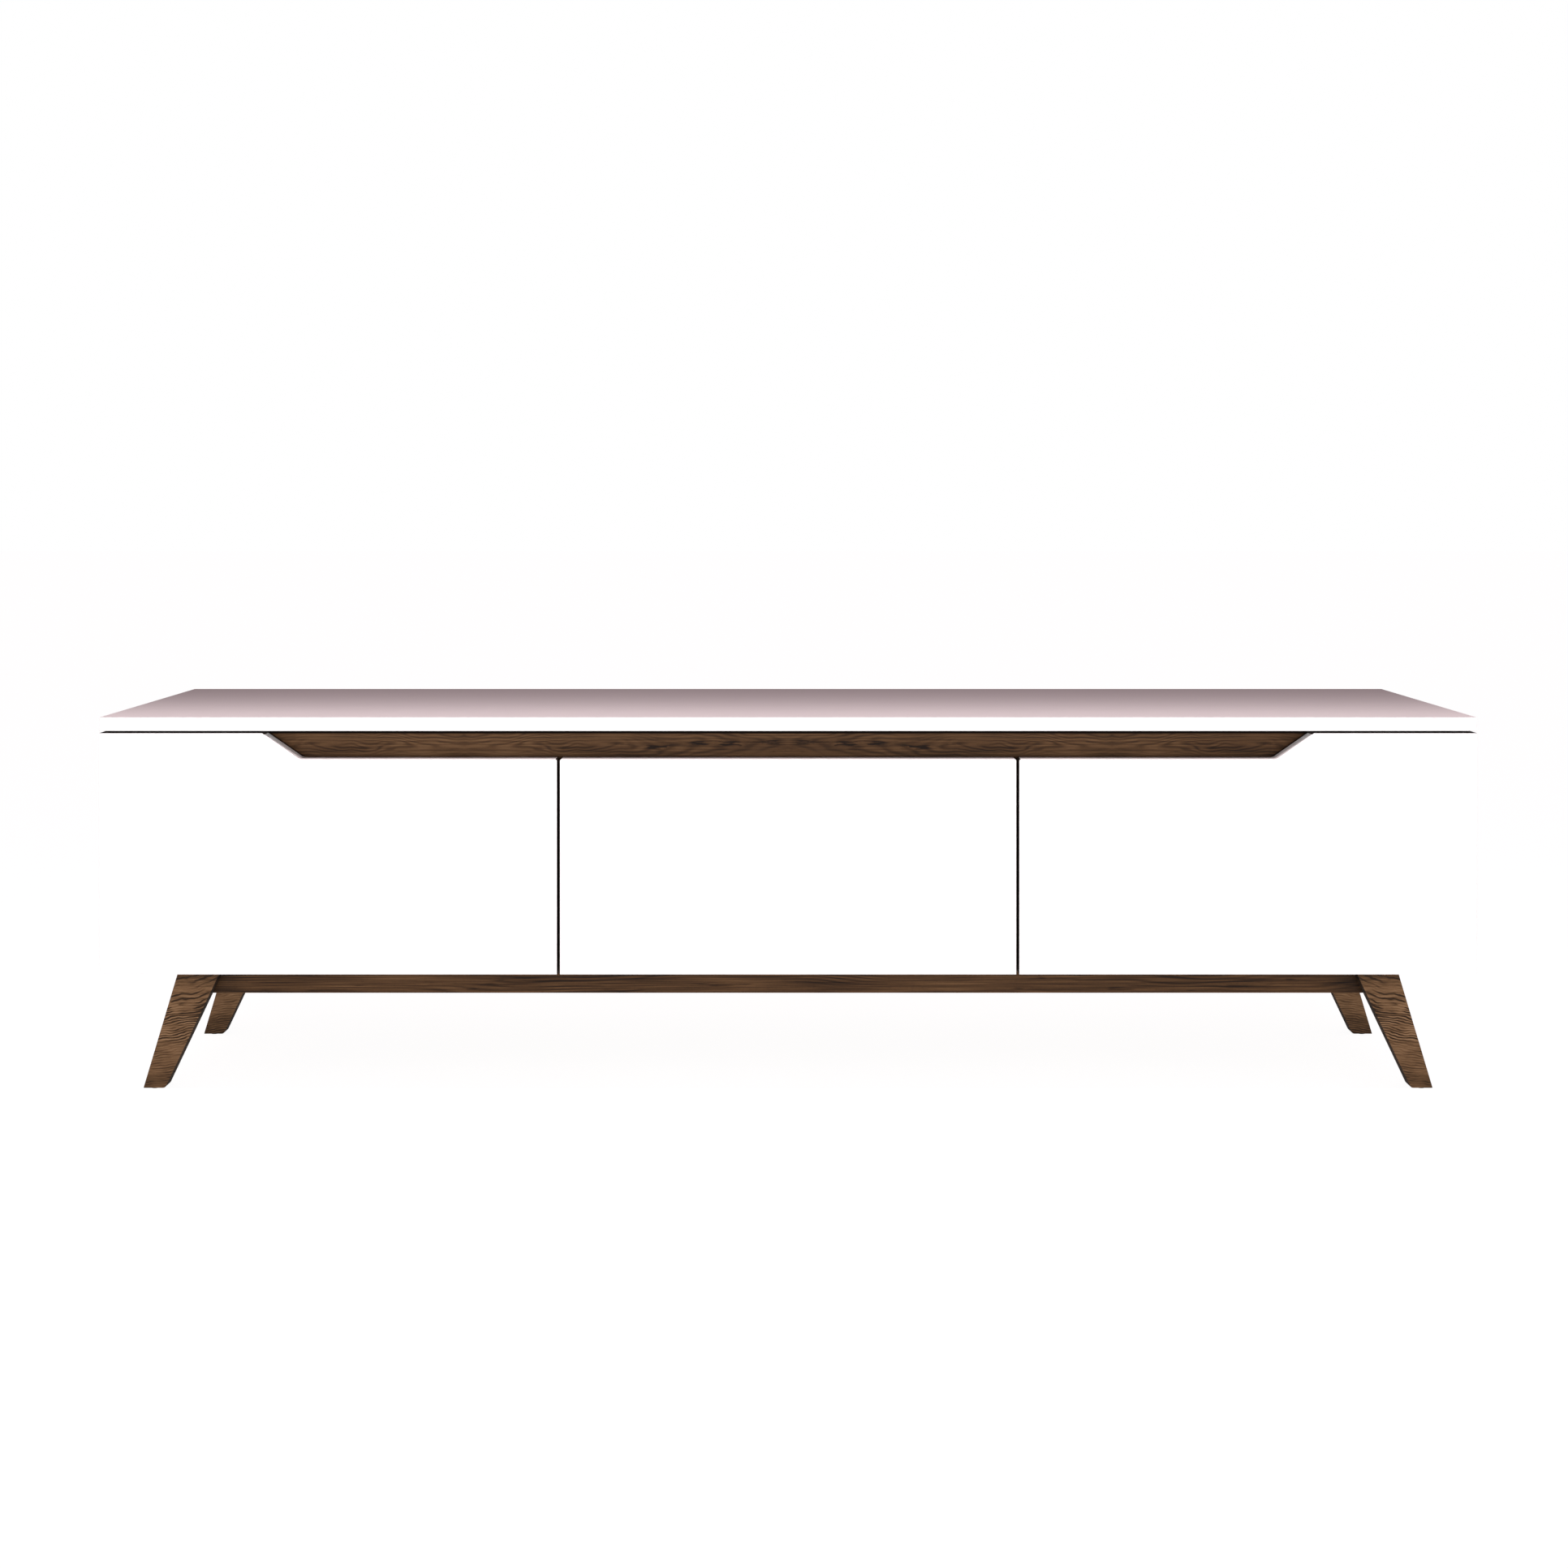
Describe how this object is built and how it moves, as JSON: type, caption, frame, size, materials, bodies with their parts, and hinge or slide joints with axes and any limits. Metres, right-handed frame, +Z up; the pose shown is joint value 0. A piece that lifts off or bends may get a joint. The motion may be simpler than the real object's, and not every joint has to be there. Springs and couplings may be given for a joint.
{
  "type": "media cabinet",
  "caption": "Long low media cabinet with drop-down flap doors, a recessed walnut finger rail and splayed board legs on a rail frame.",
  "frame": {"origin": "on the floor, below the middle of the cabinet", "axes": "+X along the width, +Y from the doors to the back, +Z up; the doors face -Y"},
  "size_m": [1.8, 0.35, 0.492],
  "materials": {
    "white_lacquered_board": "satin white lacquer on fibreboard, walnut veneer on the inner faces",
    "white_lacquered_door": "satin white lacquer on fibreboard, with crisp edges",
    "walnut_board": "walnut veneer on board, satin",
    "fibreboard_back": "hardboard, bare behind and walnut foil inside",
    "dark_walnut_veneer": "dark walnut veneer, satin, grain along the length",
    "walnut_leg": "walnut veneer, satin, grain across the leg",
    "black_rubber": "matt black rubber",
    "grey_plastic": "grained grey plastic",
    "beech_dowel": "plain fluted beech",
    "zinc_casting": "dull die-cast zinc",
    "zinc_plated_screw": "bright zinc plating",
    "nickel_plated_steel": "nickel plating",
    "satin_steel": "satin pressed steel"
  },
  "bodies": {
    "cabinet": {"top_panel": "white_lacquered_board", "bottom_panel": "walnut_board", "left_side_panel": "white_lacquered_board", "right_side_panel": "white_lacquered_board", "left_divider": "walnut_board", "right_divider": "walnut_board", "handle_rail": "dark_walnut_veneer", "left_back_panel": "fibreboard_back", "centre_back_panel": "fibreboard_back", "right_back_panel": "fibreboard_back", "front_left_leg": "walnut_leg", "front_right_leg": "walnut_leg", "back_left_leg": "walnut_leg", "back_right_leg": "walnut_leg", "front_base_rail": "dark_walnut_veneer", "back_base_rail": "dark_walnut_veneer", "left_cross_rail": "dark_walnut_veneer", "right_cross_rail": "dark_walnut_veneer", "leg_glides": "black_rubber", "leg_bolts": "zinc_plated_screw", "base_screws": "zinc_plated_screw", "cam_locks": "zinc_casting", "cam_bolts": "nickel_plated_steel", "dowels": "beech_dowel", "back_nails": "nickel_plated_steel", "frame_hinge_leaves": "nickel_plated_steel", "frame_screws": "zinc_plated_screw", "left_stay_housing": "grey_plastic", "centre_stay_housing": "grey_plastic", "right_stay_housing": "grey_plastic", "magnetic_catches": "zinc_casting"},
    "left_door": {"left_door_panel": "white_lacquered_door", "left_hinge_leaves": "nickel_plated_steel", "left_hinge_pins": "nickel_plated_steel", "left_door_screws": "zinc_plated_screw", "left_stay_bracket": "satin_steel", "left_strike_plates": "nickel_plated_steel", "left_door_bumpers": "black_rubber"},
    "left_lever": {"left_stay_lever": "satin_steel"},
    "left_link": {"left_stay_link": "satin_steel"},
    "centre_door": {"centre_door_panel": "white_lacquered_door", "centre_hinge_leaves": "nickel_plated_steel", "centre_hinge_pins": "nickel_plated_steel", "centre_door_screws": "zinc_plated_screw", "centre_stay_bracket": "satin_steel", "centre_strike_plates": "nickel_plated_steel", "centre_door_bumpers": "black_rubber"},
    "centre_lever": {"centre_stay_lever": "satin_steel"},
    "centre_link": {"centre_stay_link": "satin_steel"},
    "right_door": {"right_door_panel": "white_lacquered_door", "right_hinge_leaves": "nickel_plated_steel", "right_hinge_pins": "nickel_plated_steel", "right_door_screws": "zinc_plated_screw", "right_stay_bracket": "satin_steel", "right_strike_plates": "nickel_plated_steel", "right_door_bumpers": "black_rubber"},
    "right_lever": {"right_stay_lever": "satin_steel"},
    "right_link": {"right_stay_link": "satin_steel"}
  },
  "joints": [
    {"name": "left_door_hinge", "type": "hinge", "parent": "cabinet", "child": "left_door", "pos_m": [-0.6, -0.156, 0.1536], "axis": [1, 0, 0], "range_deg": [0, 90]},
    {"name": "left_lever_pivot", "type": "hinge", "parent": "cabinet", "child": "left_lever", "pos_m": [-0.8684, -0.076, 0.2136], "axis": [1, 0, 0], "range_deg": [0, 90]},
    {"name": "left_link_pivot", "type": "hinge", "parent": "left_lever", "child": "left_link", "pos_m": [-0.8684, -0.062, 0.3286], "axis": [1, 0, 0], "range_deg": [-90, 0]},
    {"name": "centre_door_hinge", "type": "hinge", "parent": "cabinet", "child": "centre_door", "pos_m": [0, -0.156, 0.1536], "axis": [1, 0, 0], "range_deg": [0, 90]},
    {"name": "centre_lever_pivot", "type": "hinge", "parent": "cabinet", "child": "centre_lever", "pos_m": [-0.2774, -0.076, 0.2136], "axis": [1, 0, 0], "range_deg": [0, 90]},
    {"name": "centre_link_pivot", "type": "hinge", "parent": "centre_lever", "child": "centre_link", "pos_m": [-0.2774, -0.062, 0.3286], "axis": [1, 0, 0], "range_deg": [-90, 0]},
    {"name": "right_door_hinge", "type": "hinge", "parent": "cabinet", "child": "right_door", "pos_m": [0.6, -0.156, 0.1536], "axis": [1, 0, 0], "range_deg": [0, 90]},
    {"name": "right_lever_pivot", "type": "hinge", "parent": "cabinet", "child": "right_lever", "pos_m": [0.8684, -0.076, 0.2136], "axis": [1, 0, 0], "range_deg": [0, 90]},
    {"name": "right_link_pivot", "type": "hinge", "parent": "right_lever", "child": "right_link", "pos_m": [0.8684, -0.062, 0.3286], "axis": [1, 0, 0], "range_deg": [-90, 0]}
  ],
  "couplings": [
    {"joint": "left_lever_pivot", "follows": "left_door_hinge", "ratio": 1},
    {"joint": "left_link_pivot", "follows": "left_door_hinge", "ratio": -1},
    {"joint": "centre_lever_pivot", "follows": "centre_door_hinge", "ratio": 1},
    {"joint": "centre_link_pivot", "follows": "centre_door_hinge", "ratio": -1},
    {"joint": "right_lever_pivot", "follows": "right_door_hinge", "ratio": 1},
    {"joint": "right_link_pivot", "follows": "right_door_hinge", "ratio": -1}
  ]
}
